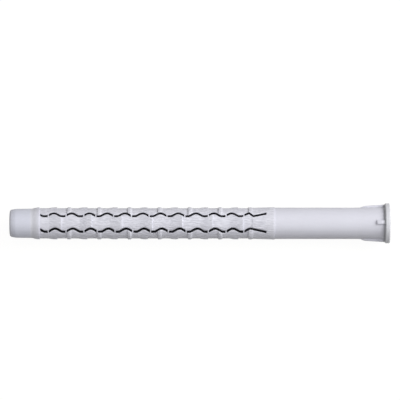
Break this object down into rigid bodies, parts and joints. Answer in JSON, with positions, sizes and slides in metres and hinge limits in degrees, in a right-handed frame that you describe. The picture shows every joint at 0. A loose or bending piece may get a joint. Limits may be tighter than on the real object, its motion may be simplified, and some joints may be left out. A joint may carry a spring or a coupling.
{
  "type": "wall plug",
  "caption": "Long one-piece plastic wall plug with wavy expansion slots, a plain sleeve, a finned neck and a countersunk collar.",
  "frame": {"origin": "on the plug's axis, in the plane of the collar's underside", "axes": "+X along the axis from tip to collar, +Z the direction in which the front strip between two of the wavy slots faces, +Y across, towards one of the neck's side fins"},
  "size_m": [0.1217, 0.0128, 0.0129],
  "materials": {
    "moulded_nylon": "satin moulded nylon, light grey with a slight lilac tint"
  },
  "bodies": {
    "root": {"wall_plug": "moulded_nylon"}
  },
  "joints": []
}
